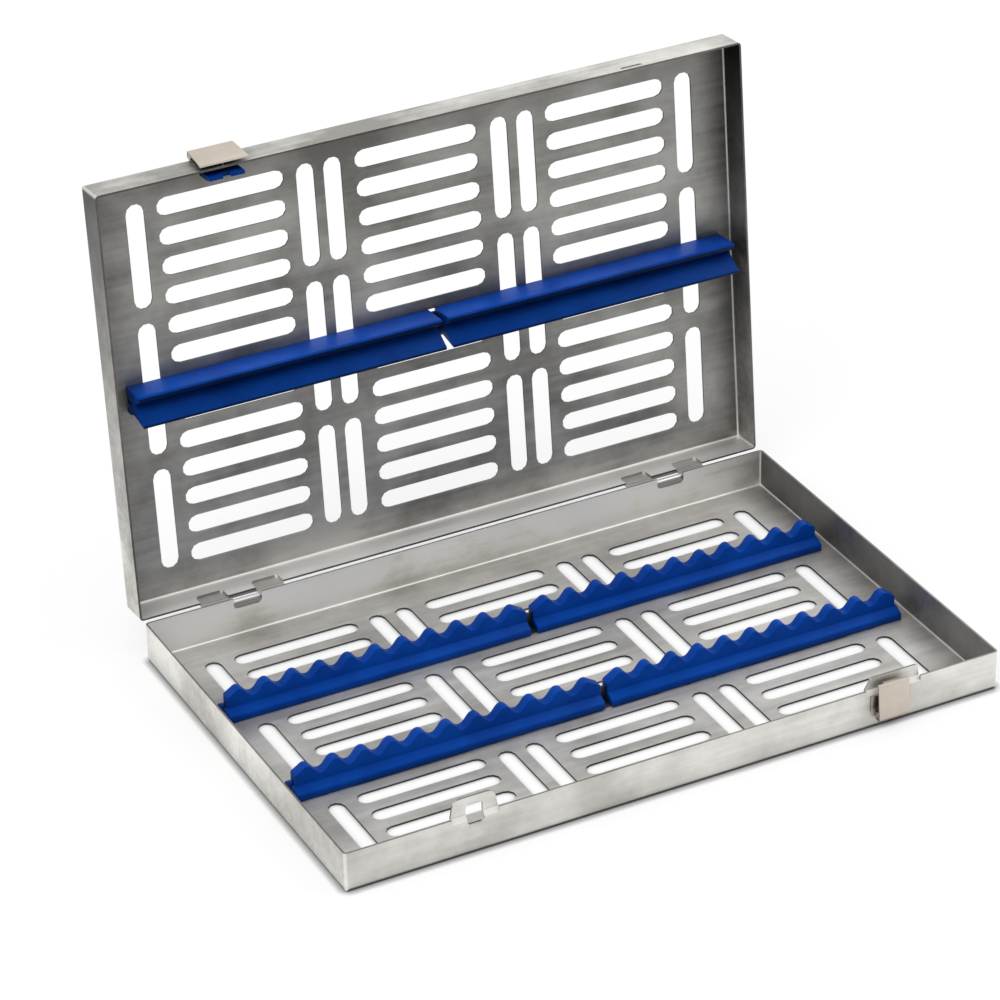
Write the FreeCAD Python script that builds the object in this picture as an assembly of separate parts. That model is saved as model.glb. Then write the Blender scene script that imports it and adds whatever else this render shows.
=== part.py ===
# Instrument cassette for steam sterilization: a slotted sheet-steel tray with a hinged slotted lid,
# silicone strips that hold the instruments, two knuckle hinges and two front latches.
# X runs along the length, +Y points to the hinges, +Z up; the origin is the centre of the underside.
# Lid pieces are drawn with the lid shut and then swung open about the hinge pins.
import FreeCAD, Part
import math
import os

os.makedirs("parts", exist_ok=True)
Vector = FreeCAD.Vector

# Case
LENGTH = 280.0
DEPTH = 180.0
BASE_HEIGHT = 17.0
LID_HEIGHT = 14.0
SHEET = 0.8
BEND = 0.8
BEND_FACETS = 4
RIM_GAP = 0.3
OPEN_ANGLE = 95.0

# How far a cutter runs past the sheet, and how deep a joined piece reaches into the other
OVERRUN = 1.0
ROOT = 0.3

# Slot pattern, the same in the floor and in the lid plate, where the slots are wider
FLOOR_SLOT_WIDTH = 7.0
LID_SLOT_WIDTH = 7.6
SLOT_FACETS = 5
ROW_COUNT = 13
ROW_EDGE_MARGIN = 16.2
MIDDLE_ROW_LENGTH = 53.6
ROW_END_MARGIN = 8.95
INNER_COLUMN_X = 36.4
SECOND_COLUMN_X = 48.1
END_COLUMN_INSET = 20.3
COLUMN_EDGE_MARGIN = 12.4
COLUMN_BRIDGE = 6.2
MIDDLE_COLUMN_LENGTH = 56.0
BASE_PATTERN_SHIFT = -2.75

# Silicone strips and the rails that carry them
STRIP_CENTRE_X = 1.4
STRIP_GAP = 2.9
STRIP_END_MARGIN = 9.1
PEAK_COUNT = 11
PEAK_RADIUS = 2.5
VALLEY_RADIUS = 2.6
SCALLOP_FACETS = 4
NOTCH_DEPTH = 4.3
STRIP_HEIGHT = 12.2
FOOT_WIDTH = 12.0
FOOT_EDGE = 2.9
FOOT_CROWN = 4.7
FOOT_ROUND = 1.4
RIB_WIDTH = 4.6
RIB_INSET = 1.0
REAR_STRIP_Y = 36.6
FRONT_STRIP_Y = -24.4
RAIL_FLANGE = 8.0
RAIL_WEB = 7.0
RAIL_INSET = 1.5
SEAT_GAP = 0.05

# Lid strip section: lips measured from the lid's rim, widths from the strip's middle
LID_STRIP_Y = 1.3
LID_STRIP_HALF = 5.5
LID_STRIP_BLOCK = 3.0
UPPER_LIP_REACH = -0.3
LOWER_LIP_REACH = -2.8
LIP_TIP = 1.2
LIP_ROOT = 5.4
LID_RAIL_WEB = 5.6

# Hinges
HINGE_INSET = 44.0
HINGE_WIDTH = 36.0
KNUCKLE_RADIUS = 1.2
KNUCKLE_CLEARANCE = 0.1
HINGE_PIN_RADIUS = 0.6
PIN_CLEARANCE = 0.05
HINGE_DROP = 2.8
HINGE_LEAF = 1.0
HINGE_LEAF_HEIGHT = 9.0
RUNNING_GAP = 0.3
BASE_NOTCH_DEPTH = 4.6
LID_NOTCH_DEPTH = 6.0
NOTCH_CORNER = 1.6
CORNER_FACETS = 4

# Tongues that rise from the base's front wall into the lid
TONGUE_OFFSET = 1.5
TONGUE_BEND_START = 2.2
TONGUE_BEND_END = 0.4
WINDOW_TONGUE_INSET = 53.5
WINDOW_TONGUE_FOOT = 19.5
WINDOW_TONGUE_TAPERS = (1.2, 1.2)
WINDOW_TONGUE_HEIGHT = 7.2
WINDOW_TONGUE_CORNER = 3.5
WINDOW_WIDTH = 7.0
WINDOW_BELOW_RIM = 4.2
WINDOW_ABOVE_RIM = 4.2
WINDOW_CORNER = 1.4
GUIDE_TONGUE_SHIFT = 1.5
GUIDE_TONGUE_FOOT = 24.0
GUIDE_TONGUE_TAPERS = (2.7, 0.4)
GUIDE_TONGUE_HEIGHT = 4.6
GUIDE_TONGUE_CORNER = 1.4

# Latches
LATCH_SHEET = 0.7
LATCH_KNUCKLE = 1.5
LATCH_BRACKET_KNUCKLE = 1.1
LATCH_FOLD_GAP = 0.15
LATCH_FOLD_REACH = 1.0
LATCH_PIN_RADIUS = 0.6
LATCH_END_KNUCKLE = 3.6
LID_LATCH_WIDTH = 18.7
LID_LATCH_FLARE = 0.9
LID_LATCH_PIVOT = 12.0
LID_LATCH_LIFT = 2.0
LID_LATCH_BRACKET_REACH = 5.6
STUD_RADIUS = 1.1
STUD_HEIGHT = 2.4
STUD_CLEARANCE = 0.25
STUD_HOLE_WIDTH = 3.4
STUD_HOLE_HEIGHT = 3.8
STUD_HOLE_CORNER = 1.5
PAD_WIDTH = 14.8
PAD_HEIGHT = 7.0
PAD_OVERHANG = 1.8
PAD_THICKNESS = 1.4
PAD_NOTCH_WIDTH = 3.4
PAD_NOTCH_HEIGHT = 2.6
HOLDER_SHEET = 0.6
HOLDER_LEG = 3.0
BASE_LATCH_INSET = 49.0
BASE_LATCH_WIDTH = 13.6
BASE_LATCH_PIVOT = 6.2
BASE_LATCH_TOP = 2.7
BASE_LATCH_LIFT = 2.6
BASE_LATCH_BRACKET_WIDTH = 17.6
BASE_LATCH_BRACKET_REACH = 8.4
LEDGE_DEPTH = 1.2
LIP_SHEET = 0.6
LIP_WIDTH = 8.0
LIP_CLEARANCE = 0.3
SLIT_WIDTH = 9.4
SLIT_HEIGHT = 1.6
SLIT_CORNER = 0.7

# Places that follow from the sizes above
FRONT = -DEPTH / 2
REAR = DEPTH / 2
LID_RIM = BASE_HEIGHT + RIM_GAP
LID_TOP = LID_RIM + LID_HEIGHT
LID_CEILING = LID_TOP - SHEET
ROW_PITCH = (DEPTH - 2 * ROW_EDGE_MARGIN) / (ROW_COUNT - 1)
END_COLUMN_X = LENGTH / 2 - END_COLUMN_INSET
OUTER_ROW_X = (SECOND_COLUMN_X + END_COLUMN_X) / 2
OUTER_ROW_LENGTH = END_COLUMN_X - SECOND_COLUMN_X - 2 * ROW_END_MARGIN
OUTER_COLUMN_LENGTH = (DEPTH - MIDDLE_COLUMN_LENGTH) / 2 - COLUMN_BRIDGE - COLUMN_EDGE_MARGIN
OUTER_COLUMN_Y = (MIDDLE_COLUMN_LENGTH + OUTER_COLUMN_LENGTH) / 2 + COLUMN_BRIDGE
STRIP_LENGTH = LENGTH / 2 - STRIP_END_MARGIN
PEAK_PITCH = STRIP_LENGTH / PEAK_COUNT
HINGE_X = LENGTH / 2 - HINGE_INSET
HINGE_Y = REAR + KNUCKLE_RADIUS + KNUCKLE_CLEARANCE
HINGE_Z = BASE_HEIGHT - HINGE_DROP
KNUCKLE_PITCH = HINGE_WIDTH / 3
WINDOW_TONGUE_X = WINDOW_TONGUE_INSET - LENGTH / 2
BASE_LATCH_X = LENGTH / 2 - BASE_LATCH_INSET
LATCH_PIVOT_Y = FRONT - LATCH_KNUCKLE - RUNNING_GAP
LATCH_ROOM = LATCH_KNUCKLE + RUNNING_GAP
LATCH_FOLD = LATCH_BRACKET_KNUCKLE + LATCH_FOLD_GAP
GUIDE_TONGUE_X = BASE_LATCH_X + GUIDE_TONGUE_SHIFT
LID_PIVOT_Z = LID_RIM + LID_LATCH_PIVOT
STUD_Z = LID_RIM + STUD_HEIGHT
LEVER_TOP = BASE_HEIGHT + BASE_LATCH_TOP
PAD_FACE = FRONT + TONGUE_OFFSET + SHEET + 2 * RUNNING_GAP
PAD_FOOT = LID_RIM - PAD_OVERHANG
X_AXIS = Vector(1, 0, 0)
Y_AXIS = Vector(0, 1, 0)
Z_AXIS = Vector(0, 0, 1)


def box(x0, x1, y0, y1, z0, z1):
    """A block between two corners, given in any order."""
    low = Vector(min(x0, x1), min(y0, y1), min(z0, z1))
    return Part.makeBox(abs(x1 - x0), abs(y1 - y0), abs(z1 - z0), low)


def prism(points, along):
    """A flat outline carried along a direction."""
    return Part.Face(Part.makePolygon(points + points[:1])).extrude(along)


def prism_x(outline, x0, x1):
    """A Y-Z outline carried along X."""
    return prism([Vector(x0, y, z) for y, z in outline], Vector(x1 - x0, 0, 0))


def prism_y(outline, y0, y1):
    """An X-Z outline carried along Y."""
    return prism([Vector(x, y0, z) for x, z in outline], Vector(0, y1 - y0, 0))


def prism_z(outline, z0, z1):
    """An X-Y outline carried along Z."""
    return prism([Vector(x, y, z0) for x, y in outline], Vector(0, 0, z1 - z0))


def rod_x(x0, x1, y, z, radius):
    """A round bar along X."""
    return Part.makeCylinder(radius, x1 - x0, Vector(x0, y, z), X_AXIS)


def arc(centre, radius, start, sweep, facets):
    """Points of an arc in equal steps, ends included; angles in radians."""
    points = []
    for step in range(facets + 1):
        angle = start + sweep * step / facets
        points.append((centre[0] + radius * math.cos(angle), centre[1] + radius * math.sin(angle)))
    return points


def rounded(outline, radii, facets):
    """Turns each corner of an outline into an arc of its own radius; 0 leaves it sharp."""
    points = []
    for index, (x, y) in enumerate(outline):
        radius = radii[index]
        if radius == 0:
            points.append((x, y))
            continue
        before = outline[index - 1]
        after = outline[(index + 1) % len(outline)]
        back = math.atan2(before[1] - y, before[0] - x)
        ahead = math.atan2(after[1] - y, after[0] - x)
        turn = (ahead - back) % (2 * math.pi)
        side = 1 if turn < math.pi else -1
        opening = turn if side > 0 else 2 * math.pi - turn
        middle = back + side * opening / 2
        reach = radius / math.sin(opening / 2)
        centre = (x + reach * math.cos(middle), y + reach * math.sin(middle))
        start = back - side * math.pi / 2
        points.extend(arc(centre, radius, start, side * (opening - math.pi), facets))
    return points


def window_y(x, width, z0, z1, corner, y0, y1):
    """A cutter through a front or rear wall with four rounded corners."""
    left = x - width / 2
    right = x + width / 2
    outline = [(left, z0), (right, z0), (right, z1), (left, z1)]
    return prism_y(rounded(outline, (corner,) * 4, CORNER_FACETS), y0, y1)


def wall_notch(x, width, depth, rim, into):
    """A cutter for a notch in a rear wall's rim, round at its two inner corners; into is -1 down or 1 up."""
    left = x - width / 2
    right = x + width / 2
    mouth = rim - into * OVERRUN
    bottom = rim + into * depth
    outline = [(left, mouth), (left, bottom), (right, bottom), (right, mouth)]
    shape = rounded(outline, (0, NOTCH_CORNER, NOTCH_CORNER, 0), CORNER_FACETS)
    return prism_y(shape, REAR - SHEET - OVERRUN, REAR + OVERRUN)


def save(name, solid):
    """Writes one piece."""
    solid.removeSplitter().exportStep("parts/" + name + ".step")


def opened(solid):
    """Swings a piece drawn on the shut lid to the open lid."""
    swung = solid.copy()
    swung.rotate(Vector(0, HINGE_Y, HINGE_Z), X_AXIS, -OPEN_ANGLE)
    return swung


def slot_cutter(x, y, length, width, lengthwise):
    """A slot with round ends, standing from below the sheet to above it."""
    radius = width / 2
    half = length / 2 - radius
    outline = arc((half, 0), radius, -math.pi / 2, math.pi, SLOT_FACETS)
    outline += arc((-half, 0), radius, math.pi / 2, math.pi, SLOT_FACETS)
    cutter = prism_z(outline, -OVERRUN, SHEET + OVERRUN)
    if not lengthwise:
        cutter.rotate(Vector(0, 0, 0), Z_AXIS, 90)
    cutter.translate(Vector(x, y, 0))
    return cutter


def slot_cutters(shift, width):
    """Rows of lengthwise slots in three blocks, and six columns of crosswise slots beside them."""
    cutters = []
    for row in range(ROW_COUNT):
        y = shift + (row - (ROW_COUNT - 1) / 2) * ROW_PITCH
        cutters.append(slot_cutter(0, y, MIDDLE_ROW_LENGTH, width, True))
        for side in (-1, 1):
            cutters.append(slot_cutter(side * OUTER_ROW_X, y, OUTER_ROW_LENGTH, width, True))
    for place in (INNER_COLUMN_X, SECOND_COLUMN_X, END_COLUMN_X):
        for x in (-place, place):
            cutters.append(slot_cutter(x, shift, MIDDLE_COLUMN_LENGTH, width, False))
            for side in (-1, 1):
                y = shift + side * OUTER_COLUMN_Y
                cutters.append(slot_cutter(x, y, OUTER_COLUMN_LENGTH, width, False))
    return cutters


def bent_block(half_x, half_y, floor, top, radius):
    """A block with bent lower edges and bent upright corners, mitred where they meet."""
    corners = (0, radius, radius, 0)
    long = [(-half_x, top), (-half_x, floor), (half_x, floor), (half_x, top)]
    wide = [(-half_y, top), (-half_y, floor), (half_y, floor), (half_y, top)]
    plan = [(-half_x, -half_y), (half_x, -half_y), (half_x, half_y), (-half_x, half_y)]
    block = prism_y(rounded(long, corners, BEND_FACETS), -half_y, half_y)
    block = block.common(prism_x(rounded(wide, corners, BEND_FACETS), -half_x, half_x))
    return block.common(prism_z(rounded(plan, (radius,) * 4, BEND_FACETS), floor, top))


def pan(height, shift, slot_width):
    """A folded pan with a slotted floor, open upwards."""
    outer = bent_block(LENGTH / 2, DEPTH / 2, 0, height, BEND + SHEET)
    inner = bent_block(LENGTH / 2 - SHEET, DEPTH / 2 - SHEET, SHEET, height, BEND)
    return outer.cut(inner).cut(slot_cutters(shift, slot_width))


def tongue(x, foot, tapers, height, corner):
    """A tongue of the front wall, set inwards by two bends so that it rises inside the lid's wall."""
    start = BASE_HEIGHT - TONGUE_BEND_START
    end = BASE_HEIGHT - TONGUE_BEND_END
    crest = BASE_HEIGHT + height
    lag = SHEET * math.tan(math.atan2(TONGUE_OFFSET, end - start) / 2)
    inset = FRONT + TONGUE_OFFSET
    section = [
        (FRONT, start - OVERRUN),
        (FRONT, start),
        (inset, end),
        (inset, crest),
        (inset + SHEET, crest),
        (inset + SHEET, end - lag),
        (FRONT + SHEET, start - lag),
        (FRONT + SHEET, start - OVERRUN),
    ]
    half = foot / 2
    outline = [
        (x - half, start - OVERRUN),
        (x - half, BASE_HEIGHT),
        (x - half + tapers[0], crest),
        (x + half - tapers[1], crest),
        (x + half, BASE_HEIGHT),
        (x + half, start - OVERRUN),
    ]
    outline = rounded(outline, (0, 0, corner, corner, 0, 0), CORNER_FACETS)
    sheet = prism_x(section, x - half, x + half)
    return sheet.common(prism_y(outline, FRONT - OVERRUN, inset + SHEET + OVERRUN))


def with_tongue(tray, x, foot, tapers, height, corner):
    """Cuts the rim away where a tongue leaves the wall and adds the tongue."""
    start = BASE_HEIGHT - TONGUE_BEND_START
    mouth = BASE_HEIGHT + OVERRUN
    relief = box(x - foot / 2, x + foot / 2, FRONT - OVERRUN, FRONT + SHEET + OVERRUN, start, mouth)
    return tray.cut(relief).fuse(tongue(x, foot, tapers, height, corner))


def base_tray():
    """The base: pan, hinge notches, window tongue and guide tongue."""
    tray = pan(BASE_HEIGHT, BASE_PATTERN_SHIFT, FLOOR_SLOT_WIDTH)
    for x in (-HINGE_X, HINGE_X):
        tray = tray.cut(wall_notch(x, KNUCKLE_PITCH + RUNNING_GAP, BASE_NOTCH_DEPTH, BASE_HEIGHT, -1))
    tray = with_tongue(
        tray, WINDOW_TONGUE_X, WINDOW_TONGUE_FOOT, WINDOW_TONGUE_TAPERS, WINDOW_TONGUE_HEIGHT,
        WINDOW_TONGUE_CORNER,
    )
    tray = with_tongue(
        tray, GUIDE_TONGUE_X, GUIDE_TONGUE_FOOT, GUIDE_TONGUE_TAPERS, GUIDE_TONGUE_HEIGHT,
        GUIDE_TONGUE_CORNER,
    )
    low = BASE_HEIGHT - WINDOW_BELOW_RIM
    high = BASE_HEIGHT + WINDOW_ABOVE_RIM
    back = FRONT + TONGUE_OFFSET + SHEET + OVERRUN
    return tray.cut(
        window_y(WINDOW_TONGUE_X, WINDOW_WIDTH, low, high, WINDOW_CORNER, FRONT - OVERRUN, back)
    )


def lid_shell():
    """The lid: a pan turned over, with hinge notches, stud hole and catch slit."""
    shell = pan(LID_HEIGHT, 0.0, LID_SLOT_WIDTH)
    shell.rotate(Vector(0, 0, 0), X_AXIS, 180)
    shell.translate(Vector(0, 0, LID_TOP))
    for x in (-HINGE_X, HINGE_X):
        for side in (-1, 1):
            centre = x + side * KNUCKLE_PITCH
            shell = shell.cut(wall_notch(centre, KNUCKLE_PITCH, LID_NOTCH_DEPTH, LID_RIM, 1))
    near = FRONT - OVERRUN
    far = FRONT + SHEET + OVERRUN
    low = STUD_Z - STUD_HOLE_HEIGHT / 2
    high = STUD_Z + STUD_HOLE_HEIGHT / 2
    hole = window_y(WINDOW_TONGUE_X, STUD_HOLE_WIDTH, low, high, STUD_HOLE_CORNER, near, far)
    low = LEVER_TOP - LIP_SHEET / 2 - SLIT_HEIGHT / 2
    high = low + SLIT_HEIGHT
    slit = window_y(BASE_LATCH_X, SLIT_WIDTH, low, high, SLIT_CORNER, near, far)
    return shell.cut([hole, slit])


def half_span(side):
    """The two ends of the left (-1) or right (1) half of a strip, in X."""
    inner = STRIP_CENTRE_X + side * STRIP_GAP / 2
    return sorted((inner, inner + side * STRIP_LENGTH))


def flank_angle():
    """Slope of the straight flank that joins a peak arc to a valley arc."""
    half = PEAK_PITCH / 2
    rise = PEAK_RADIUS + VALLEY_RADIUS - NOTCH_DEPTH
    reach = math.hypot(half, rise)
    return math.asin((PEAK_RADIUS + VALLEY_RADIUS) / reach) - math.atan2(rise, half)


def scalloped_rib(x0, y, floor, side):
    """The upright rib of a base strip: round peaks, straight flanks and round valleys along its top."""
    angle = flank_angle()
    peak_z = floor + STRIP_HEIGHT
    peak_centre = peak_z - PEAK_RADIUS
    valley_centre = peak_z - NOTCH_DEPTH + VALLEY_RADIUS
    end_z = peak_z - NOTCH_DEPTH + VALLEY_RADIUS * (1 - math.cos(angle))
    top = [(x0, end_z)]
    for index in range(PEAK_COUNT):
        x = x0 + (index + 0.5) * PEAK_PITCH
        if index > 0:
            centre = (x - PEAK_PITCH / 2, valley_centre)
            start = -math.pi / 2 - angle
            top.extend(arc(centre, VALLEY_RADIUS, start, 2 * angle, SCALLOP_FACETS))
        start = math.pi / 2 + angle
        top.extend(arc((x, peak_centre), PEAK_RADIUS, start, -2 * angle, SCALLOP_FACETS))
    top.append((x0 + STRIP_LENGTH, end_z))
    outline = [(x0, floor)] + top + [(x0 + STRIP_LENGTH, floor)]
    rib = prism_y(outline, y - RIB_WIDTH / 2, y + RIB_WIDTH / 2)
    outer = x0 if side < 0 else x0 + STRIP_LENGTH
    trim = box(outer, outer - side * RIB_INSET, y - RIB_WIDTH, y + RIB_WIDTH, floor, peak_z)
    return rib.cut(trim)


def base_strip(side, y):
    """Half of a base strip: a wide soft-edged foot with the scalloped rib, slotted for its rail."""
    x0, x1 = half_span(side)
    floor = SHEET
    outline = [
        (y - FOOT_WIDTH / 2, floor),
        (y - FOOT_WIDTH / 2, floor + FOOT_EDGE),
        (y - RIB_WIDTH / 2, floor + FOOT_CROWN),
        (y + RIB_WIDTH / 2, floor + FOOT_CROWN),
        (y + FOOT_WIDTH / 2, floor + FOOT_EDGE),
        (y + FOOT_WIDTH / 2, floor),
    ]
    foot = prism_x(rounded(outline, (0, FOOT_ROUND, 0, 0, FOOT_ROUND, 0), CORNER_FACETS), x0, x1)
    strip = foot.fuse(scalloped_rib(x0, y, floor, side))
    room = rail_section(y, floor, 1, RAIL_WEB, SEAT_GAP)
    return strip.cut(prism_x(room, x0 - OVERRUN, x1 + OVERRUN))


def rail_section(y, face, up, web, gap):
    """An inverted T: flange on the sheet and upright web; gap widens it for the strip's slot."""
    edge = RAIL_FLANGE / 2 + gap
    half = SHEET / 2 + gap
    flange = face + up * (SHEET + gap)
    tip = face + up * (web + gap)
    right = [(y + half, tip), (y + half, flange), (y + edge, flange), (y + edge, face)]
    left = [(2 * y - across, height) for across, height in reversed(right)]
    return left + right


def rail(y, face, up, web):
    """A rail under both halves of a strip."""
    x0 = half_span(-1)[0] + RAIL_INSET
    x1 = half_span(1)[1] - RAIL_INSET
    return prism_x(rail_section(y, face, up, web, 0.0), x0, x1)


def lid_strip(side):
    """Half of the lid strip: a block on the plate with a short upper lip and a long slanted lower lip."""
    x0, x1 = half_span(side)
    front = LID_STRIP_Y - LID_STRIP_HALF
    rear = LID_STRIP_Y + LID_STRIP_HALF
    upper = LID_RIM + UPPER_LIP_REACH
    lower = LID_RIM + LOWER_LIP_REACH
    outline = [
        (rear, LID_CEILING),
        (rear, LID_CEILING - LID_STRIP_BLOCK),
        (rear - LIP_TIP, LID_CEILING - 2 * LID_STRIP_BLOCK),
        (rear + LIP_TIP, lower + LIP_TIP / 3),
        (rear, lower),
        (front + 4 * LIP_TIP, LID_RIM + LIP_ROOT),
        (front + 2 * LIP_TIP, upper + LIP_TIP / 2),
        (front + LIP_TIP / 2, upper),
        (front, upper + LIP_TIP),
        (front, LID_CEILING),
    ]
    room = rail_section(LID_STRIP_Y, LID_CEILING, -1, LID_RAIL_WEB, SEAT_GAP)
    return prism_x(outline, x0, x1).cut(prism_x(room, x0 - OVERRUN, x1 + OVERRUN))


def hinge_leaf(x, face, up, own):
    """A leaf outside a rear wall, reaching up or down from face; own lists its knuckles, -1, 0 or 1."""
    tip = face + up * HINGE_LEAF_HEIGHT
    leaf = box(x - HINGE_WIDTH / 2, x + HINGE_WIDTH / 2, REAR, REAR + HINGE_LEAF, face, tip)
    half = KNUCKLE_PITCH / 2 - RUNNING_GAP / 2
    root = face + up * ROOT
    for place in own:
        x0 = x + place * KNUCKLE_PITCH - half
        x1 = x + place * KNUCKLE_PITCH + half
        neck = box(x0, x1, REAR + RUNNING_GAP, REAR + HINGE_LEAF, HINGE_Z, root)
        leaf = leaf.fuse([neck, rod_x(x0, x1, HINGE_Y, HINGE_Z, KNUCKLE_RADIUS)])
    bore = HINGE_PIN_RADIUS + PIN_CLEARANCE
    return leaf.cut(rod_x(x - HINGE_WIDTH, x + HINGE_WIDTH, HINGE_Y, HINGE_Z, bore))


def hinge_pin(x):
    """The pin through the three knuckles."""
    return rod_x(x - HINGE_WIDTH / 2, x + HINGE_WIDTH / 2, HINGE_Y, HINGE_Z, HINGE_PIN_RADIUS)


def latch_bore(x, pivot_z):
    """The cutter for a latch pin."""
    reach = LID_LATCH_WIDTH
    return rod_x(x - reach, x + reach, LATCH_PIVOT_Y, pivot_z, LATCH_PIN_RADIUS + PIN_CLEARANCE)


def latch_bracket(x, width, lever_width, pivot_z, up, reach):
    """A leaf outside a front wall with one middle knuckle; up points from the pivot to the rim."""
    face = FRONT - LATCH_SHEET
    near = pivot_z + up * LATCH_ROOM
    leaf = box(x - width / 2, x + width / 2, FRONT, face, near, pivot_z + up * reach)
    half = lever_width / 2 - LATCH_END_KNUCKLE - RUNNING_GAP
    neck = box(x - half, x + half, FRONT, face - ROOT, pivot_z - up * ROOT, pivot_z)
    neck = neck.fuse(box(x - half, x + half, FRONT, face, pivot_z, near + up * ROOT))
    roll = rod_x(x - half, x + half, LATCH_PIVOT_Y, pivot_z, LATCH_BRACKET_KNUCKLE)
    return leaf.fuse([neck, roll]).cut(latch_bore(x, pivot_z))


def latch_plate(x, width, flare, pivot_z, up, reach, lift):
    """A latch's finger plate, folded under its pin and rolled round it at both ends."""
    outer = LATCH_PIVOT_Y - LATCH_FOLD - LATCH_SHEET
    rim_outer = FRONT - lift
    tip = pivot_z + up * reach
    fold = pivot_z - up * LATCH_FOLD
    bottom = fold - up * LATCH_SHEET
    section = [
        (rim_outer, tip),
        (rim_outer + LATCH_SHEET, tip),
        (outer + LATCH_SHEET, pivot_z),
        (outer + LATCH_SHEET, fold),
        (LATCH_PIVOT_Y + LATCH_FOLD_REACH, fold),
        (LATCH_PIVOT_Y + LATCH_FOLD_REACH, bottom),
        (outer, bottom),
        (outer, pivot_z),
    ]
    section = rounded(section, (0, 0, 0, 0, 0, 0, LATCH_SHEET, 0), CORNER_FACETS)
    half = width / 2
    wide = half + flare
    outline = [(x - half, bottom), (x + half, bottom), (x + wide, tip), (x - wide, tip)]
    plate = prism_x(section, x - wide, x + wide)
    plate = plate.common(prism_y(outline, outer - OVERRUN, FRONT))
    for side in (-1, 1):
        x0, x1 = sorted((x + side * half, x + side * (half - LATCH_END_KNUCKLE)))
        plate = plate.fuse(rod_x(x0, x1, LATCH_PIVOT_Y, pivot_z, LATCH_KNUCKLE))
    return plate.cut(latch_bore(x, pivot_z))


def latch_pin(x, width, pivot_z):
    """The pin of a latch."""
    return rod_x(x - width / 2, x + width / 2, LATCH_PIVOT_Y, pivot_z, LATCH_PIN_RADIUS)


def lid_latch_lever():
    """The lid's latch plate with the stud that enters the tongue's window."""
    x = WINDOW_TONGUE_X
    reach = LID_LATCH_PIVOT
    plate = latch_plate(x, LID_LATCH_WIDTH, LID_LATCH_FLARE, LID_PIVOT_Z, -1, reach, LID_LATCH_LIFT)
    start = FRONT - LID_LATCH_LIFT + LATCH_SHEET / 2
    tip = FRONT + TONGUE_OFFSET - STUD_CLEARANCE
    return plate.fuse(Part.makeCylinder(STUD_RADIUS, tip - start, Vector(x, start, STUD_Z), Y_AXIS))


def base_latch_lever():
    """The base's latch plate, its ledge folded inwards and the lip that enters the lid's slit."""
    x = BASE_LATCH_X
    width = BASE_LATCH_WIDTH
    reach = LEVER_TOP - BASE_LATCH_PIVOT
    plate = latch_plate(x, width, 0.0, BASE_LATCH_PIVOT, 1, reach, BASE_LATCH_LIFT)
    near = FRONT - BASE_LATCH_LIFT
    low = LEVER_TOP - LIP_SHEET
    ledge = box(x - width / 2, x + width / 2, near, near + LEDGE_DEPTH, low, LEVER_TOP)
    lip = box(x - LIP_WIDTH / 2, x + LIP_WIDTH / 2, near, FRONT - LIP_CLEARANCE, low, LEVER_TOP)
    return plate.fuse([ledge, lip])


def lid_latch_holder():
    """A folded sheet that hangs from the lid's front wall and carries the pad behind the tongue."""
    wall = FRONT + SHEET
    back = PAD_FACE + PAD_THICKNESS
    bridge = BASE_HEIGHT + WINDOW_TONGUE_HEIGHT + 2 * RUNNING_GAP
    foot = LID_RIM + RUNNING_GAP
    top = bridge + HOLDER_LEG
    section = [
        (wall, top),
        (wall, bridge),
        (back, bridge),
        (back, foot),
        (back + HOLDER_SHEET, foot),
        (back + HOLDER_SHEET, bridge + HOLDER_SHEET),
        (wall + HOLDER_SHEET, bridge + HOLDER_SHEET),
        (wall + HOLDER_SHEET, top),
    ]
    return prism_x(section, WINDOW_TONGUE_X - PAD_WIDTH / 2, WINDOW_TONGUE_X + PAD_WIDTH / 2)


def lid_latch_pad():
    """The silicone pad, notched at its free edge below the stud."""
    x = WINDOW_TONGUE_X
    half = PAD_WIDTH / 2
    back = PAD_FACE + PAD_THICKNESS
    pad = box(x - half, x + half, PAD_FACE, back, PAD_FOOT, PAD_FOOT + PAD_HEIGHT)
    top = PAD_FOOT + PAD_NOTCH_HEIGHT
    half = PAD_NOTCH_WIDTH / 2
    return pad.cut(box(x - half, x + half, PAD_FACE, back, PAD_FOOT, top))


def save_hinge(word, side):
    """Both leaves and the pin of one hinge."""
    x = side * HINGE_X
    base_face = HINGE_Z - KNUCKLE_RADIUS - RUNNING_GAP
    save("hinge_base_leaf_" + word, hinge_leaf(x, base_face, -1, (0,)))
    save("hinge_lid_leaf_" + word, opened(hinge_leaf(x, LID_RIM, 1, (-1, 1))))
    save("hinge_pin_" + word, hinge_pin(x))


def save_lid_latch():
    """The latch on the lid: bracket, pin, lever, and the holder with its pad."""
    x = WINDOW_TONGUE_X
    width = LID_LATCH_WIDTH
    bracket = latch_bracket(x, width, width, LID_PIVOT_Z, -1, LID_LATCH_BRACKET_REACH)
    save("lid_latch_bracket", opened(bracket))
    save("lid_latch_pin", opened(latch_pin(x, width, LID_PIVOT_Z)))
    save("lid_latch_lever", opened(lid_latch_lever()))
    save("lid_latch_holder", opened(lid_latch_holder()))
    save("lid_latch_pad", opened(lid_latch_pad()))


def save_base_latch():
    """The latch on the base: bracket, pin and lever."""
    x = BASE_LATCH_X
    width = BASE_LATCH_WIDTH
    reach = BASE_LATCH_BRACKET_REACH
    save(
        "base_latch_bracket",
        latch_bracket(x, BASE_LATCH_BRACKET_WIDTH, width, BASE_LATCH_PIVOT, 1, reach),
    )
    save("base_latch_pin", latch_pin(x, width, BASE_LATCH_PIVOT))
    save("base_latch_lever", base_latch_lever())


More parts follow.
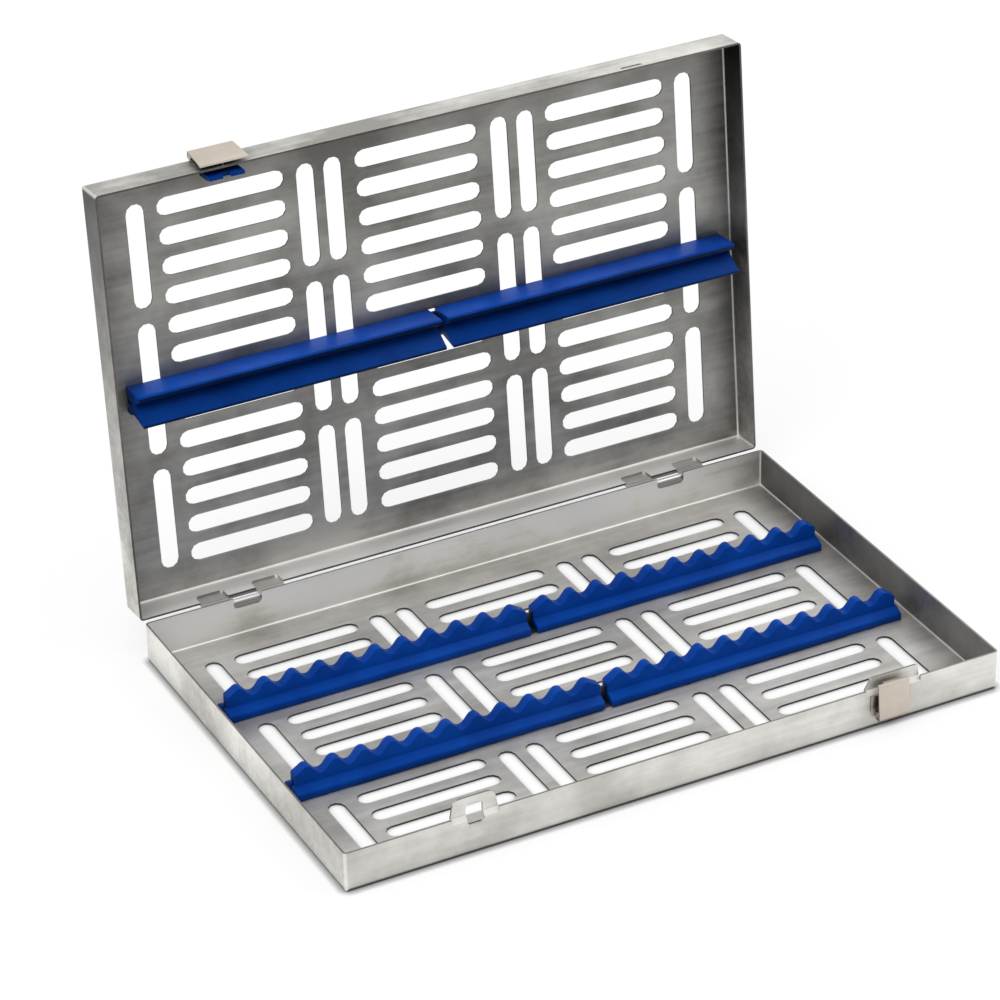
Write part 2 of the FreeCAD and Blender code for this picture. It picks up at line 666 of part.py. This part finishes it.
def build():
    """Makes every piece and writes it under its node name."""
    sides = {"left": -1, "right": 1}
    save("base_tray", base_tray())
    save("lid_shell", opened(lid_shell()))
    save("lid_rail", opened(rail(LID_STRIP_Y, LID_CEILING, -1, LID_RAIL_WEB)))
    for name, y in (("rear", REAR_STRIP_Y), ("front", FRONT_STRIP_Y)):
        save("base_rail_" + name, rail(y, SHEET, 1, RAIL_WEB))
        for word, side in sides.items():
            save("base_strip_" + name + "_" + word, base_strip(side, y))
    for word, side in sides.items():
        save("lid_strip_" + word, opened(lid_strip(side)))
        save_hinge(word, side)
    save_lid_latch()
    save_base_latch()


build()
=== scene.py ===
import math
from collections import namedtuple

import bmesh
import bpy
from mathutils import Matrix, Vector


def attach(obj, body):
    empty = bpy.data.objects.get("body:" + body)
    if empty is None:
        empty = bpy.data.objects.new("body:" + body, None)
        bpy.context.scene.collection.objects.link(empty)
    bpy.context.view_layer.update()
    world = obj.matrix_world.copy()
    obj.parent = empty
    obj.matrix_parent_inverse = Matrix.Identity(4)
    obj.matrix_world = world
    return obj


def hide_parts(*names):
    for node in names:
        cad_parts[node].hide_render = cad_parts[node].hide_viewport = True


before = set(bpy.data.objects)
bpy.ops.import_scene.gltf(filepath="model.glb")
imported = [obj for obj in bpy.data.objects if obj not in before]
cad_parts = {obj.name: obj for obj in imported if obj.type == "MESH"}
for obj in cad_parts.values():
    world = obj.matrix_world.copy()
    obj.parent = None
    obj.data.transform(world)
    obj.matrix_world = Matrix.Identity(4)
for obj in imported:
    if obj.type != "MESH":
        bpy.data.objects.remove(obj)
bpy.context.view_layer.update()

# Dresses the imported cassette: finishes, soft edges on the silicone and the levers, and a studio like the photograph's

MM = 0.001
UP = (0.0, 0.0, 1.0)
DOWN = (0.0, 0.0, -1.0)
LEFT = (-1.0, 0.0, 0.0)
FRONT = (0.0, -1.0, 0.0)
LENGTHWISE = (1.0, 0.0, 0.0)
CROSSWISE = (0.0, 1.0, 0.0)
EVEN = (1.0, 1.0, 1.0)
WHITE = (1.0, 1.0, 1.0, 1.0)

# Camera: place in metres, the directions ahead and to its right, and focal length in picture widths
CAMERA_PLACE = Vector((-0.66638, -1.26039, 0.91529))
CAMERA_AIM = Vector((0.38964, 0.76963, -0.50581))
CAMERA_RIGHT = Vector((0.88690, -0.46156, -0.01909))
FOCAL_LENGTH = 4.334
SENSOR_WIDTH = 36.0
NEAREST_SEEN = 0.01
FARTHEST_SEEN = 50.0

# World: brightest towards one side, evenly dimmer away from it
BRIGHT_SIDE = (0.0, 0.5, 0.866)
BRIGHTEST_LEAN = 0.85
DIMMEST_LEAN = -0.25
BRIGHTEST = 1.1
DIMMEST = 0.38

# Lamps: place in metres and power in watts
LAMP_SIZE = 1.2
LAMP_TARGET = Vector((0.0, 0.0, 0.05))
LAMPS = {
    "soft_box_left": (Vector((-1.2, -0.6, 1.4)), 14.0),
    "soft_box_right": (Vector((1.3, -0.2, 1.2)), 8.0),
}

# Floor: its share of white for the camera, and the painted contact shadow, a dark line under the object's edge
FLOOR_SIZE = 20.0
FLOOR_COLOUR = (0.86, 0.86, 0.86, 1.0)
FLOOR_WHITE = 0.62
CONTACT_SHADOW_REACH = 3.2 * MM
CONTACT_SHADOW_POWER = 3.0

# Rounded edges of the softened copies
SILICONE_BEVEL = 0.35 * MM
LEVER_BEVEL = 0.15 * MM
BEVEL_SEGMENTS = 3
BEVEL_ANGLE = math.radians(25.0)
MERGE_DISTANCE = 0.005 * MM
FLAT_ANGLE = math.radians(1.0)

# Painted shade in recesses
AO_SAMPLES = 4
STEEL_REACH = 14.0 * MM
STEEL_HOLLOW = 0.68
SILICONE_REACH = 8.0 * MM
SILICONE_HOLLOW = 0.35

# Noise: its settings, its middle value and the values between which a finish changes
Noise = namedtuple("Noise", "scale detail roughness stretch")
NOISE_MIDDLE = 0.5
NOISE_LOW = 0.3
NOISE_HIGH = 0.7

# Steel: clouds, brush marks, the colour that it stays under and the painted shade on the small pieces' undersides
CLOUDS = Noise(24.0, 5.0, 0.62, (0.8, 1.0, 1.0))
CLOUD_LOW = 0.34
CLOUD_HIGH = 0.66
BRUSH_MARKS = Noise(1.0, 4.0, 0.6, (16.0, 420.0, 420.0))
BRUSH_WEIGHT = 0.3
BRUSH_BUMP = 0.03
BRUSH_DEPTH = 0.2 * MM
ROUGH_SPREAD = 0.05
LEAST_GAIN = 0.06
LIGHTEST_STEEL = (0.95, 0.94, 0.92)
PAINTED_UNDERSIDE_SHADE = (-1.2,)

# Steel: painted highlight along the bends, other than those that face down
FOLD_HIGHLIGHT_COLOUR = (0.97, 0.96, 0.94, 1.0)
FOLD_PAINTED_HIGHLIGHT = 0.75
FOLD_START = 0.99
FOLD_RISE = 4.0
FOLD_LOWEST = -0.05

# Steel: painted shade on the narrow cut faces of the slots, the rim and the tongues
CUT_DEPTH = 0.85 * MM
CUT_TURN = 0.5
CUT_HALF_DEPTH = 88.0 * MM
CUT_HALF_LENGTH = 138.0 * MM
SLOT_SHADE = 0.88
RIM_DEPTH = 0.1 * MM
RIM_TURN = 0.1
RIM_SHADE = 0.5
TONGUE_REACH = 4.2 * MM
TONGUE_TURN = 0.5
TONGUE_SHADE = 0.6

# Silicone
SILICONE_DARK = (0.0005, 0.032, 0.232)
SILICONE_LIGHT = (0.0016, 0.050, 0.320)
SILICONE_TINT = (0.12, 0.42, 1.0, 1.0)
SILICONE_SPECULAR = 0.2
SILICONE_ROUGH = (0.42, 0.52)
MOTTLE = Noise(60.0, 3.0, 0.5, EVEN)
GRAIN = Noise(900.0, 2.0, 0.5, EVEN)
GRAIN_BUMP = 0.08
GRAIN_DEPTH = 0.1 * MM

# The pans, and the hinge line, angle and closed top of the open lid
BASE_HEIGHT = 17.0 * MM
LID_HEIGHT = 14.0 * MM
LID_TOP = 31.3 * MM
HINGE_Y = 91.3 * MM
HINGE_Z = 14.2 * MM
OPEN_ANGLE = 95.0

# A pan: its plate's inward normal, outer face, direction across and middle line, and its height
Pan = namedtuple("Pan", "normal face across middle height")


def new_material(name):
    """A material with an empty node tree and its output."""
    material = bpy.data.materials.new(name)
    material.use_nodes = True
    tree = material.node_tree
    tree.nodes.clear()
    output = tree.nodes.new("ShaderNodeOutputMaterial")
    return material, tree, output


def add(tree, kind, **values):
    """A node with its properties and socket values set."""
    node = tree.nodes.new(kind)
    for key, value in values.items():
        if key in node.inputs:
            node.inputs[key].default_value = value
        else:
            setattr(node, key, value)
    return node


def object_noise(tree, noise):
    """Noise in object space, stretched along each axis."""
    place = tree.nodes.new("ShaderNodeTexCoord")
    mapping = add(tree, "ShaderNodeMapping", Scale=noise.stretch)
    texture = add(
        tree, "ShaderNodeTexNoise", Scale=noise.scale, Detail=noise.detail, Roughness=noise.roughness,
    )
    tree.links.new(place.outputs["Object"], mapping.inputs["Vector"])
    tree.links.new(mapping.outputs["Vector"], texture.inputs["Vector"])
    return texture.outputs["Fac"]


def ramp(tree, value, stops):
    """A colour ramp over a value; stops are (position, colour)."""
    node = tree.nodes.new("ShaderNodeValToRGB")
    for element, (position, colour) in zip(node.color_ramp.elements, stops):
        element.position = position
        element.color = (*colour, 1.0)
    tree.links.new(value, node.inputs["Fac"])
    return node.outputs["Color"]


def spread(tree, value, from_range, to_range):
    """Maps a value from one range to another."""
    node = add(tree, "ShaderNodeMapRange")
    node.inputs["From Min"].default_value, node.inputs["From Max"].default_value = from_range
    node.inputs["To Min"].default_value, node.inputs["To Max"].default_value = to_range
    tree.links.new(value, node.inputs["Value"])
    return node.outputs["Result"]


def math_node(tree, operation, first, *others):
    """A math step repeated over sockets or numbers, from the first on."""
    result = first
    for other in others:
        node = add(tree, "ShaderNodeMath", operation=operation)
        for index, operand in enumerate((result, other)):
            if isinstance(operand, (int, float)):
                node.inputs[index].default_value = operand
            else:
                tree.links.new(operand, node.inputs[index])
        result = node.outputs[0]
    return result


def along(tree, vector, direction):
    """How far a vector reaches along a direction."""
    node = add(tree, "ShaderNodeVectorMath", operation="DOT_PRODUCT")
    node.inputs[1].default_value = direction
    tree.links.new(vector, node.inputs[0])
    return node.outputs["Value"]


def painted_hollow_shade(tree, reach, low):
    """Painted shade: 1 on open faces, falling to low in recesses and close beside other pieces."""
    closeness = add(tree, "ShaderNodeAmbientOcclusion", samples=AO_SAMPLES, Distance=reach)
    shade = math_node(tree, "MULTIPLY", closeness.outputs["AO"], 1.0 - low)
    return math_node(tree, "ADD", shade, low)


def painted_facing_light(tree, place, turns):
    """Painted light and shade by facing: 1, and for each direction how far a face turns to it times a share.

    A share is a start, and where it changes over the object, its rise per metre along X, Y and Z.
    """
    gain = 1.0
    for direction, (start, *rise) in turns.items():
        facing = math_node(tree, "MAXIMUM", along(tree, place.outputs["Normal"], direction), 0.0)
        share = start
        if rise:
            share = math_node(tree, "ADD", along(tree, place.outputs["Object"], rise), start)
        gain = math_node(tree, "ADD", math_node(tree, "MULTIPLY", facing, share), gain)
    return gain


def fold_highlight_mask(tree, normal):
    """1 where a bend turns half way between two walls, 0 on flat sheet and on faces that look down."""
    turned = [along(tree, normal, axis) for axis in (LENGTHWISE, CROSSWISE, UP)]
    largest = math_node(tree, "MAXIMUM", *(math_node(tree, "ABSOLUTE", side, 0.0) for side in turned))
    rise = math_node(tree, "MULTIPLY", math_node(tree, "SUBTRACT", FOLD_START, largest), FOLD_RISE)
    mask = math_node(tree, "MINIMUM", math_node(tree, "MAXIMUM", rise, 0.0), 1.0)
    return math_node(tree, "MULTIPLY", mask, math_node(tree, "GREATER_THAN", turned[2], FOLD_LOWEST))


def near_all(tree, place, rules):
    """1 where every rule holds, 0 elsewhere; a rule is a coordinate, an axis, a value and how far from it."""
    checks = []
    for source, axis, value, limit in rules:
        offset = math_node(tree, "SUBTRACT", along(tree, place.outputs[source], axis), value)
        checks.append(math_node(tree, "LESS_THAN", math_node(tree, "ABSOLUTE", offset, 0.0), limit))
    return math_node(tree, "MULTIPLY", *checks)


def slot_faces(tree, place, pan):
    """1 on the narrow faces of the slots in a pan's plate."""
    return near_all(tree, place, (
        ("Object", pan.normal, pan.face, CUT_DEPTH),
        ("Normal", pan.normal, 0.0, CUT_TURN),
        ("Object", pan.across, pan.middle, CUT_HALF_DEPTH),
        ("Object", LENGTHWISE, 0.0, CUT_HALF_LENGTH),
    ))


def rim_faces(tree, place, pan):
    """1 on the narrow face along a pan's rim."""
    return near_all(tree, place, (
        ("Object", pan.normal, pan.face + pan.height, RIM_DEPTH),
        ("Normal", pan.normal, 1.0, RIM_TURN),
    ))


def tongue_edges(tree, place, pan):
    """1 on the narrow cut faces of what stands above a pan's rim."""
    return near_all(tree, place, (
        ("Object", pan.normal, pan.face + pan.height + TONGUE_REACH, TONGUE_REACH - RIM_DEPTH),
        ("Normal", pan.across, 0.0, TONGUE_TURN),
    ))


def steel(name, dark, light, rough, turns, pan=None, bump=BRUSH_BUMP):
    """Brushed sheet steel, cloudy and streaked along X, with painted light and shade by facing, painted shade in
    recesses, a painted highlight along its bends and painted shade on a pan's cut faces.
    """
    material, tree, output = new_material(name)
    shader = add(tree, "ShaderNodeBsdfPrincipled", Metallic=1.0)
    place = tree.nodes.new("ShaderNodeTexCoord")
    cloud = object_noise(tree, CLOUDS)
    brush = object_noise(tree, BRUSH_MARKS)
    gain = math_node(tree, "MAXIMUM", painted_facing_light(tree, place, turns), LEAST_GAIN)
    gain = math_node(tree, "MULTIPLY", gain, painted_hollow_shade(tree, STEEL_REACH, STEEL_HOLLOW))
    mask = math_node(tree, "MULTIPLY", fold_highlight_mask(tree, place.outputs["Normal"]), FOLD_PAINTED_HIGHLIGHT)
    if pan:
        slots = slot_faces(tree, place, pan)
        # Painted shade on the cut faces of the slots, the rim and the tongues' edges
        shade = math_node(
            tree, "ADD",
            math_node(tree, "MULTIPLY", slots, -SLOT_SHADE),
            math_node(tree, "MULTIPLY", rim_faces(tree, place, pan), -RIM_SHADE),
            math_node(tree, "MULTIPLY", tongue_edges(tree, place, pan), -TONGUE_SHADE),
            1.0,
        )
        gain = math_node(tree, "MULTIPLY", gain, shade)
        mask = math_node(tree, "MULTIPLY", mask, math_node(tree, "SUBTRACT", 1.0, slots))
    streaks = math_node(tree, "MULTIPLY", math_node(tree, "SUBTRACT", brush, NOISE_MIDDLE), BRUSH_WEIGHT)
    tone = math_node(tree, "ADD", cloud, streaks)
    scaled = add(tree, "ShaderNodeVectorMath", operation="SCALE")
    tree.links.new(ramp(tree, tone, ((CLOUD_LOW, dark), (CLOUD_HIGH, light))), scaled.inputs[0])
    tree.links.new(gain, scaled.inputs["Scale"])
    held = add(tree, "ShaderNodeVectorMath", operation="MINIMUM")
    held.inputs[1].default_value = LIGHTEST_STEEL
    tree.links.new(scaled.outputs[0], held.inputs[0])
    # Painted highlight: bends mixed towards a near-white steel
    highlighted = add(tree, "ShaderNodeMix", data_type="RGBA")
    highlighted.inputs["B"].default_value = FOLD_HIGHLIGHT_COLOUR
    tree.links.new(held.outputs[0], highlighted.inputs["A"])
    tree.links.new(mask, highlighted.inputs["Factor"])
    tree.links.new(highlighted.outputs["Result"], shader.inputs["Base Color"])
    gloss = spread(tree, brush, (NOISE_LOW, NOISE_HIGH), (rough - ROUGH_SPREAD, rough + ROUGH_SPREAD))
    tree.links.new(gloss, shader.inputs["Roughness"])
    grain = add(tree, "ShaderNodeBump", Strength=bump, Distance=BRUSH_DEPTH)
    tree.links.new(brush, grain.inputs["Height"])
    tree.links.new(grain.outputs["Normal"], shader.inputs["Normal"])
    tree.links.new(shader.outputs["BSDF"], output.inputs["Surface"])
    return material


def silicone(name, turns):
    """Royal-blue silicone, mottled and with a fine moulded grain, with painted shade in recesses and painted light and
    shade by facing.
    """
    material, tree, output = new_material(name)
    shader = add(tree, "ShaderNodeBsdfPrincipled")
    shader.inputs["Specular IOR Level"].default_value = SILICONE_SPECULAR
    shader.inputs["Specular Tint"].default_value = SILICONE_TINT
    place = tree.nodes.new("ShaderNodeTexCoord")
    mottle = object_noise(tree, MOTTLE)
    fine = object_noise(tree, GRAIN)
    gain = painted_facing_light(tree, place, turns)
    gain = math_node(tree, "MULTIPLY", painted_hollow_shade(tree, SILICONE_REACH, SILICONE_HOLLOW), gain)
    shaded = add(tree, "ShaderNodeVectorMath", operation="SCALE")
    blues = ramp(tree, mottle, ((NOISE_LOW, SILICONE_DARK), (NOISE_HIGH, SILICONE_LIGHT)))
    tree.links.new(blues, shaded.inputs[0])
    tree.links.new(gain, shaded.inputs["Scale"])
    tree.links.new(shaded.outputs[0], shader.inputs["Base Color"])
    gloss = spread(tree, fine, (NOISE_LOW, NOISE_HIGH), SILICONE_ROUGH)
    tree.links.new(gloss, shader.inputs["Roughness"])
    grain = add(tree, "ShaderNodeBump", Strength=GRAIN_BUMP, Distance=GRAIN_DEPTH)
    tree.links.new(fine, grain.inputs["Height"])
    tree.links.new(grain.outputs["Normal"], shader.inputs["Normal"])
    tree.links.new(shader.outputs["BSDF"], output.inputs["Surface"])
    return material


def dress(material, *nodes):
    """Gives a finish to CAD nodes."""
    for node in nodes:
        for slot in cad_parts[node].material_slots:
            slot.material = material


def softened(node, body, material, bevel):
    """A copy of a node with rounded edges, shown in its place."""
    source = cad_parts[node]
    piece = bpy.data.objects.new(node + "_soft", source.data.copy())
    piece.matrix_world = source.matrix_world.copy()
    bpy.context.scene.collection.objects.link(piece)
    mesh = bmesh.new()
    mesh.from_mesh(piece.data)
    bmesh.ops.remove_doubles(mesh, verts=mesh.verts, dist=MERGE_DISTANCE)
    bmesh.ops.dissolve_limit(mesh, angle_limit=FLAT_ANGLE, verts=mesh.verts, edges=mesh.edges)
    mesh.to_mesh(piece.data)
    mesh.free()
    piece.data.materials.clear()
    piece.data.materials.append(material)
    modifier = piece.modifiers.new("round", "BEVEL")
    modifier.width = bevel
    modifier.segments = BEVEL_SEGMENTS
    modifier.limit_method = "ANGLE"
    modifier.angle_limit = BEVEL_ANGLE
    piece.data.shade_smooth()
    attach(piece, body)
    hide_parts(node)


def make_floor():
    """A pale floor that looks white, also in reflections, and keeps the object's shadow, with a painted contact shadow
    where its glow darkens close to the object's edge.
    """
    bpy.ops.mesh.primitive_plane_add(size=FLOOR_SIZE, location=(0, 0, 0))
    floor = bpy.context.object
    floor.name = "floor"
    material, tree, output = new_material("floor_white")
    diffuse = add(tree, "ShaderNodeBsdfDiffuse", Color=FLOOR_COLOUR)
    glow = add(tree, "ShaderNodeEmission", Color=WHITE)
    painted_contact_shadow = math_node(tree, "POWER", painted_hollow_shade(tree, CONTACT_SHADOW_REACH, 0.0), CONTACT_SHADOW_POWER)
    tree.links.new(painted_contact_shadow, glow.inputs["Strength"])
    bright = add(tree, "ShaderNodeMixShader", Fac=FLOOR_WHITE)
    tree.links.new(diffuse.outputs[0], bright.inputs[1])
    tree.links.new(glow.outputs[0], bright.inputs[2])
    path = tree.nodes.new("ShaderNodeLightPath")
    rays = [path.outputs["Is " + kind + " Ray"] for kind in ("Camera", "Glossy", "Transmission")]
    choose = tree.nodes.new("ShaderNodeMixShader")
    tree.links.new(math_node(tree, "MAXIMUM", *rays), choose.inputs[0])
    tree.links.new(diffuse.outputs[0], choose.inputs[1])
    tree.links.new(bright.outputs[0], choose.inputs[2])
    tree.links.new(choose.outputs[0], output.inputs["Surface"])
    floor.data.materials.append(material)


def make_world():
    """A soft studio, bright above and behind and dimmer in front of the object."""
    world = bpy.data.worlds.new("studio")
    bpy.context.scene.world = world
    world.use_nodes = True
    tree = world.node_tree
    tree.nodes.clear()
    output = tree.nodes.new("ShaderNodeOutputWorld")
    place = tree.nodes.new("ShaderNodeTexCoord")
    lean = along(tree, place.outputs["Generated"], BRIGHT_SIDE)
    strength = spread(tree, lean, (DIMMEST_LEAN, BRIGHTEST_LEAN), (DIMMEST, BRIGHTEST))
    studio = add(tree, "ShaderNodeBackground", Color=WHITE)
    tree.links.new(strength, studio.inputs["Strength"])
    tree.links.new(studio.outputs[0], output.inputs["Surface"])


def make_lamps():
    """Two soft boxes aimed at the object."""
    for name, (place, power) in LAMPS.items():
        data = bpy.data.lights.new(name, "AREA")
        data.shape = "SQUARE"
        data.size = LAMP_SIZE
        data.energy = power
        lamp = bpy.data.objects.new(name, data)
        lamp.location = place
        lamp.rotation_euler = (LAMP_TARGET - place).to_track_quat("-Z", "Y").to_euler()
        bpy.context.scene.collection.objects.link(lamp)


def make_camera():
    """The camera at the photograph's viewing angle."""
    data = bpy.data.cameras.new("camera")
    data.sensor_width = SENSOR_WIDTH
    data.lens = FOCAL_LENGTH * SENSOR_WIDTH
    data.clip_start = NEAREST_SEEN
    data.clip_end = FARTHEST_SEEN
    camera = bpy.data.objects.new("camera", data)
    aim = CAMERA_AIM.normalized()
    up = CAMERA_RIGHT.cross(aim).normalized()
    right = aim.cross(up).normalized()
    camera.matrix_world = Matrix.Translation(CAMERA_PLACE) @ Matrix((right, up, -aim)).transposed().to_4x4()
    bpy.context.scene.collection.objects.link(camera)
    bpy.context.scene.camera = camera


def open_lid():
    """The lid's pan as it stands open."""
    turn = Matrix.Rotation(math.radians(-OPEN_ANGLE), 3, "X")
    pivot = Vector((0.0, HINGE_Y, HINGE_Z))
    centre = pivot + turn @ (Vector((0.0, 0.0, LID_TOP)) - pivot)
    normal = turn @ Vector(DOWN)
    across = turn @ Vector(CROSSWISE)
    return Pan(normal, centre.dot(normal), across, centre.dot(across), LID_HEIGHT)


# Painted light and shade by facing: up-facing faces a little darker; left-facing faces darker, more so towards +X;
# front-facing faces lighter, more so towards the rear; and faces that look down painted dark as shade under the bottom
# edge
sheet_base = steel(
    "sheet_steel_base",
    dark=(0.48, 0.466, 0.437), light=(0.775, 0.76, 0.725), rough=0.56,
    turns={UP: (-0.1,), LEFT: (-0.25, -2.65, 0.0, 0.0), FRONT: (0.47, 0.0, 3.15, 0.0), DOWN: (-2.8,)},
    pan=Pan(normal=UP, face=0.0, across=CROSSWISE, middle=0.0, height=BASE_HEIGHT),
)
# The lid's steel is a darker, shaded copy of the same steel, with painted light on up-facing faces (more so low down),
# painted light and shade on left-facing faces (lighter low down, darker higher up and towards +X) and painted shade on
# faces that look down
shaded_lid_steel = steel(
    "lid_steel_painted_darker",
    dark=(0.150, 0.147, 0.137), light=(0.345, 0.340, 0.322), rough=0.52,
    turns={UP: (6.8, 0.0, 0.0, -28.3), LEFT: (1.6, -1.71, 0.0, -12.2), DOWN: (-0.5,)},
    pan=open_lid(),
)
# Painted light on the hinge leaves' up-facing faces and painted shade on their undersides
hinge_steel = steel(
    "hinge_steel",
    dark=(0.50, 0.49, 0.47), light=(0.64, 0.62, 0.60), rough=0.42,
    turns={UP: (0.3,), DOWN: PAINTED_UNDERSIDE_SHADE},
)
# The rails are steel painted near-black as the shade in the gap, with painted shade underneath
rail_steel_painted_shade = steel(
    "rail_steel_painted_shade",
    dark=(0.10, 0.10, 0.10), light=(0.16, 0.16, 0.16), rough=0.45,
    turns={DOWN: PAINTED_UNDERSIDE_SHADE},
)
# Painted shade on the pins' undersides
pin_steel = steel(
    "pin_steel",
    dark=(0.50, 0.50, 0.50), light=(0.62, 0.62, 0.62), rough=0.22,
    turns={DOWN: PAINTED_UNDERSIDE_SHADE},
)
# Painted shade on the latches' left-facing faces and undersides
latch_metal = steel(
    "latch_nickel",
    dark=(0.55, 0.485, 0.415), light=(0.66, 0.585, 0.51), rough=0.32,
    turns={LEFT: (-0.45,), DOWN: (-0.9,)},
    bump=0.0,
)
# All three silicones have painted shade in recesses; the lid strips' copy has painted light on up-facing faces and
# painted shade on front-facing faces, and the pad's copy has painted shade on front-facing faces
base_blue = silicone("blue_silicone", turns={})
lid_blue = silicone("blue_silicone_lid", turns={UP: (0.25,), FRONT: (-0.9,)})
pad_blue = silicone("blue_silicone_pad", turns={FRONT: (-0.4,)})

dress(sheet_base, "base_tray")
dress(shaded_lid_steel, "lid_shell", "lid_latch_holder")
dress(rail_steel_painted_shade, "base_rail_rear", "base_rail_front", "lid_rail")
dress(hinge_steel, "hinge_base_leaf_left", "hinge_base_leaf_right")
dress(hinge_steel, "hinge_lid_leaf_left", "hinge_lid_leaf_right")
dress(pin_steel, "hinge_pin_left", "hinge_pin_right", "lid_latch_pin", "base_latch_pin")
dress(latch_metal, "lid_latch_bracket", "base_latch_bracket")
dress(pad_blue, "lid_latch_pad")

for end in ("left", "right"):
    for row in ("rear", "front"):
        softened("base_strip_" + row + "_" + end, "base", base_blue, SILICONE_BEVEL)
    softened("lid_strip_" + end, "lid", lid_blue, SILICONE_BEVEL)
for body in ("lid_latch", "base_latch"):
    softened(body + "_lever", body, latch_metal, LEVER_BEVEL)

make_floor()
make_world()
make_lamps()
make_camera()
bpy.context.scene.view_settings.view_transform = "Standard"
